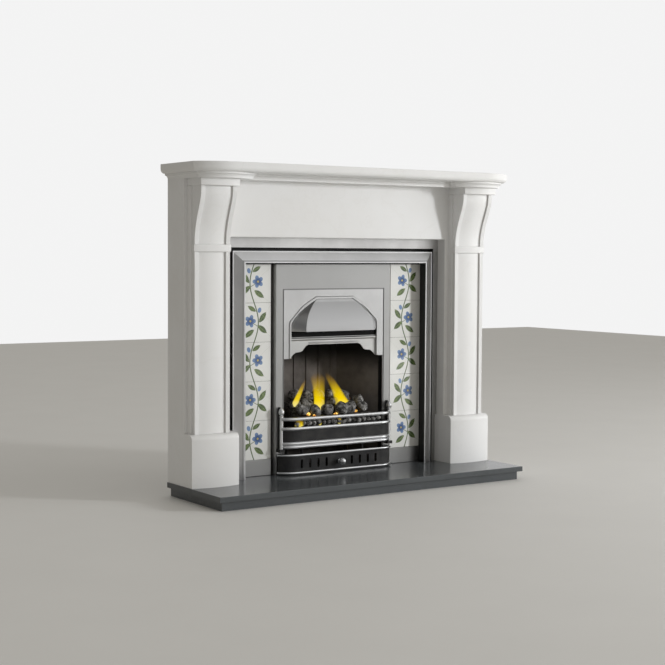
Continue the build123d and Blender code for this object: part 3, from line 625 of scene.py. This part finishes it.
def scatter_lumps(name, points, tree, **sizes):
    """Runs the tree on a cloud of points and keeps the result as a plain mesh."""
    cloud = bpy.data.meshes.new(name + "_points")
    cloud.from_pydata(points, [], [])
    source = bpy.data.objects.new(name + "_source", cloud)
    bpy.context.scene.collection.objects.link(source)
    modifier = source.modifiers.new("lumps", "NODES")
    modifier.node_group = tree
    for item in tree.interface.items_tree:
        if item.in_out == "INPUT" and item.name.lower() in sizes:
            modifier[item.identifier] = sizes[item.name.lower()]
    bpy.context.view_layer.update()
    graph = bpy.context.evaluated_depsgraph_get()
    mesh = bpy.data.meshes.new_from_object(source.evaluated_get(graph))
    bpy.data.objects.remove(source)
    mesh.polygons.foreach_set("use_smooth", [True] * len(mesh.polygons))
    piece = bpy.data.objects.new(name, mesh)
    bpy.context.scene.collection.objects.link(piece)
    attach(piece, ROOT)
    print(name, "faces", len(mesh.polygons))
    return piece

# %% [markdown]
# The model holds each coal as a plain solid. The lumps take the middles of those solids, moved a few
# millimetres at random from a fixed seed, so that the heap looks tipped in by hand.


# %% Coals
def solid_centres(node):
    """The middle of each loose solid of a node, found by walking its faces."""
    mesh = nodes[node].data
    key = [tuple(round(c, 5) for c in v.co) for v in mesh.vertices]
    group = {}

    def root(point):
        while group.setdefault(point, point) != point:
            point = group[point]
        return point

    for polygon in mesh.polygons:
        first = root(key[polygon.vertices[0]])
        for index in polygon.vertices[1:]:
            group[root(key[index])] = first
    solids = {}
    for point in set(key):
        solids.setdefault(root(point), []).append(point)
    return [
        Vector([(min(p[i] for p in ps) + max(p[i] for p in ps)) / 2 for i in range(3)])
        for ps in solids.values()
    ]


coal_spots = sorted(solid_centres("coals"), key=lambda c: (round(c.y, 2), c.x))
lumps = lump_tree("lumps", 4, coal.material)
shift = random.Random(11)
LOW, HIGH = (-0.007, -0.006, -0.007), (0.007, 0.006, 0.003)
coal_spots = [spot + Vector([shift.uniform(a, b) for a, b in zip(LOW, HIGH)]) for spot in coal_spots]
coals = scatter_lumps("coal_lumps", coal_spots, lumps, size=0.0285, roughness=0.030, grain=24.0)
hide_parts("coals")
print("coals", len(coal_spots))

# %% [markdown]
# Between the lumps lie small glowing chips, which light the gaps, and a row of little cinders shows
# in the slot between the two upper bars. Both use the same tree with other sizes. The chips are set
# round every fifth coal, each turned on by the golden angle, so that no row of them shows.

# %% Embers and cinders
EMBERS, GOLDEN_ANGLE = 12, 2.399
chips = []
for i in range(EMBERS):
    spot = coal_spots[(i * 5) % len(coal_spots)]
    angle = i * GOLDEN_ANGLE
    chips.append(spot + Vector((math.cos(angle) * 0.030, math.sin(angle) * 0.020, -0.019)))
ember_tree = lump_tree("chips", 3, ember.material, (0.8, 0.6, 0.4), (1.5, 1.1, 0.8))
embers = scatter_lumps("ember_chips", chips, ember_tree, size=0.0085, roughness=0.012, grain=70.0)

CINDERS, CINDER_PITCH = 17, 0.0240
cinder_spots = [
    Vector(
        (-0.192 + CINDER_PITCH * i, WALL_Y - 0.1085, HEARTH_Z + 0.2010 + 0.0015 * ((5 * i) % 3 - 1))
    )
    for i in range(CINDERS)
]
cinder_tree = lump_tree("cinders", 3, coal.material)
cinders = scatter_lumps("cinders", cinder_spots, cinder_tree, size=0.0125, roughness=0.010, grain=55.0)

# %% [markdown]
# A flame is light, not a surface. Its colour and its clearness follow two attributes that each tongue
# carries: rise, from 0 at its foot to 1 at its tip, and edge, from 0 at its rim to 1 at its middle. It
# is pale yellow low down, orange at the tip, and fades out upwards and towards its rim.

# %% Flame colour
flame = Shader("flame", roughness=1.0, specular_ior_level=0.0, emission_strength=1.0)
height = Value(flame, flame.node("ShaderNodeAttribute", {"attribute_name": "rise"}, output="Fac"))
edge = Value(flame, flame.node("ShaderNodeAttribute", {"attribute_name": "edge"}, output="Fac"))
licks = flame.noise(30.0, 3.0, 0.5, (1, 1, 0.3))
tone = flame.mix((1.0, 0.86, 0.26), (1.0, 0.72, 0.0), flame.band(height, 0.02, 0.30))
tone = flame.mix(tone, (0.80, 0.42, 0.02), flame.band(height, 0.35, 0.95))
flame.put("Base Color", (0.0, 0.0, 0.0, 1.0))
flame.put("Emission Color", tone)
fade = (1 - flame.band(height, 0.15, 0.98)) * flame.band(edge, 0.22, 1.0)
flame.put("Alpha", (fade * (0.20 + licks * 0.80)).clipped())

# %% [markdown]
# The flames are thin closed tongues. Each is a stack of flat rings that narrows or spreads on its way
# up, leans to one side, and sways more as it rises. Each ring lies across the camera's view and is
# less than half as deep as it is wide. Three of the tongues stand low behind the bars.

# %% Flame tongues
FLAME_RINGS, FLAME_SIDES = 28, 24
ACROSS = Vector((math.cos(TURN), -math.sin(TURN), 0))
DEEP = Vector((math.sin(TURN), math.cos(TURN), 0))


def flame_tongue(name, foot, tall, widths, lean, sway):
    """A closed tongue from its foot, with its widths at foot, waist and crown, in metres."""
    low, waist, crown = widths
    verts, rise, rim = [], [], []
    for ring in range(FLAME_RINGS + 1):
        t = ring / FLAME_RINGS
        width = low * (1 - t) ** 2 + 2 * waist * t * (1 - t) + crown * t * t
        width *= min(1.0, 6 * t + 0.25) * min(1.0, 5 * (1 - t) + 0.02)
        bend = lean * t**1.3 + sway * math.sin(t * 5.0) * t
        middle = foot + ACROSS * bend + Vector((0, 0, tall * t))
        for k in range(FLAME_SIDES):
            a = 2 * math.pi * k / FLAME_SIDES
            verts.append(middle + ACROSS * (math.cos(a) * width) + DEEP * (math.sin(a) * width * 0.4))
            rise.append(t)
            rim.append(abs(math.sin(a)))
    faces = []
    for ring in range(FLAME_RINGS):
        for k in range(FLAME_SIDES):
            a, b = ring * FLAME_SIDES + k, ring * FLAME_SIDES + (k + 1) % FLAME_SIDES
            faces.append((b, a, a + FLAME_SIDES, b + FLAME_SIDES))
    faces.append(tuple(range(FLAME_SIDES)))
    faces.append(tuple(reversed(range(FLAME_RINGS * FLAME_SIDES, (FLAME_RINGS + 1) * FLAME_SIDES))))
    mesh = bpy.data.meshes.new(name)
    mesh.from_pydata(verts, [], faces)
    for label, values in (("rise", rise), ("edge", rim)):
        mesh.attributes.new(label, "FLOAT", "POINT").data.foreach_set("value", values)
    mesh.polygons.foreach_set("use_smooth", [True] * len(mesh.polygons))
    mesh.materials.append(flame.material)
    piece = bpy.data.objects.new(name, mesh)
    bpy.context.scene.collection.objects.link(piece)
    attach(piece, ROOT)
    return piece


# Foot sideways from the middle, out from the wall and up from the hearth, then height, the widths
# at foot, waist and crown, lean and sway.
FLAMES = (
    (-0.172, -0.050, 0.262, 0.115, (0.015, 0.011, 0.005), 0.050, 0.003),
    (-0.056, -0.052, 0.236, 0.168, (0.028, 0.014, 0.044), -0.006, 0.004),
    (-0.060, -0.050, 0.236, 0.110, (0.020, 0.012, 0.018), -0.012, 0.003),
    (0.062, -0.052, 0.238, 0.160, (0.038, 0.018, 0.016), -0.074, 0.003),
    (0.074, -0.056, 0.236, 0.085, (0.044, 0.020, 0.008), -0.040, 0.002),
    (-0.190, -0.110, 0.189, 0.030, (0.018, 0.020, 0.012), 0.006, 0.001),
    (-0.092, -0.112, 0.189, 0.032, (0.007, 0.008, 0.006), -0.003, 0.001),
    (0.000, -0.112, 0.189, 0.032, (0.007, 0.008, 0.006), 0.002, 0.001),
)
for i, (fx, fy, fz, tall, widths, lean, sway) in enumerate(FLAMES):
    foot = Vector((fx, WALL_Y + fy, HEARTH_Z + fz))
    flame_tongue(f"flame_{i + 1}", foot, tall, widths, lean, sway)
print("flames", len(FLAMES))

# %% [markdown]
# A plain pale floor carries the shadow. The world gives an even soft light, and two large lamps give
# the form: a low one from the right front, and a wide soft one like a window further round.

# %% Floor
floor_mesh = bpy.data.meshes.new("floor")
floor_mesh.from_pydata([(-9, -9, 0), (9, -9, 0), (9, 9, 0), (-9, 9, 0)], [], [(0, 1, 2, 3)])
floor = bpy.data.objects.new("floor", floor_mesh)
bpy.context.scene.collection.objects.link(floor)
floor_finish = Shader("pale_floor", roughness=0.7)
floor_tone = floor_finish.noise(3.0, 3.0)
floor_finish.put("Base Color", floor_finish.mix((0.76, 0.75, 0.73), (0.80, 0.79, 0.77), floor_tone))
floor_mesh.materials.append(floor_finish.material)
print("floor laid")

# %% [markdown]
# The camera and the metal see a pale backdrop of their own that adds no light. The metal sees it fall
# off to the left, as it does in a room with its window on the right. The kind of ray decides
# which of the three skies it meets.

# %% World
world = bpy.data.worlds.new("studio")
world.use_nodes = True
bpy.context.scene.world = world
world_tree = world.node_tree
world_tree.nodes.clear()
AMBIENT, BACKDROP = 0.46, 0.90


def world_node(kind, **values):
    """A node of the world's tree with its settings."""
    node = world_tree.nodes.new(kind)
    for key, value in values.items():
        setattr(node, key, value)
    return node


rays, direction = world_node("ShaderNodeLightPath"), world_node("ShaderNodeTexCoord")
split = world_node("ShaderNodeSeparateXYZ")
world_tree.links.new(direction.outputs["Generated"], split.inputs[0])


def world_shade(strength, colour, darkest, span):
    """A background at full strength on the right that falls to a share of it on the left."""
    fall = world_node("ShaderNodeMapRange", interpolation_type="SMOOTHSTEP")
    world_tree.links.new(split.outputs["X"], fall.inputs["Value"])
    fall.inputs["From Min"].default_value, fall.inputs["From Max"].default_value = span
    fall.inputs["To Min"].default_value = darkest * strength
    fall.inputs["To Max"].default_value = strength
    shade = world_node("ShaderNodeBackground")
    shade.inputs["Color"].default_value = (*colour, 1.0)
    world_tree.links.new(fall.outputs[0], shade.inputs["Strength"])
    return shade.outputs[0]


def world_choice(first, second, *switches):
    """The second shade for the rays that any of the switches names, and the first for the rest."""
    choice = world_node("ShaderNodeMixShader")
    share = rays.outputs[switches[0]]
    for name in switches[1:]:
        either = world_node("ShaderNodeMath", operation="MAXIMUM")
        world_tree.links.new(share, either.inputs[0])
        world_tree.links.new(rays.outputs[name], either.inputs[1])
        share = either.outputs[0]
    for slot, value in zip(choice.inputs, (share, first, second)):
        world_tree.links.new(value, slot)
    return choice.outputs[0]


SPAN = (-0.5, 0.42)
plain = world_shade(AMBIENT, (1.0, 0.965, 0.885), 0.72, (-0.8, 0.5))
mirrored = world_shade(BACKDROP, (1.0, 1.0, 1.0), 0.20, SPAN)
backdrop = world_shade(BACKDROP, (1.0, 1.0, 1.0), 1.0, SPAN)
mixed = world_choice(plain, mirrored, "Is Glossy Ray", "Is Transmission Ray")
world_out = world_node("ShaderNodeOutputWorld")
world_tree.links.new(world_choice(mixed, backdrop, "Is Camera Ray"), world_out.inputs[0])
print("world", AMBIENT, "backdrop", BACKDROP)

# %% [markdown]
# The key lamp would be mirrored as a white spot by every flat plate, so the metal doesn't see it. The
# wide window lamp gives the metal its highlights instead.


# %% Lamps

def soft_lamp(name, at, towards, width, tall, power, colour):
    data = bpy.data.lights.new(name, "AREA")
    data.shape = "RECTANGLE"
    data.size, data.size_y = width, tall
    data.energy = power
    data.color = colour
    lamp = bpy.data.objects.new(name, data)
    lamp.location = at
    lamp.rotation_euler = (Vector(towards) - Vector(at)).to_track_quat("-Z", "Y").to_euler()
    bpy.context.scene.collection.objects.link(lamp)
    return lamp


AIM = (0.0, 0.0, 0.7)
key = soft_lamp("key_light", (4.9, -5.3, 1.75), AIM, 0.8, 1.2, 275.0, (0.97, 0.985, 1.0))
key.visible_glossy = False
soft_lamp("window_light", (5.6, -3.0, 1.6), AIM, 2.4, 2.6, 55.0, (0.98, 0.99, 1.0))
bpy.context.scene.view_settings.view_transform = "Standard"
print("lamps", key.name, "and window_light")
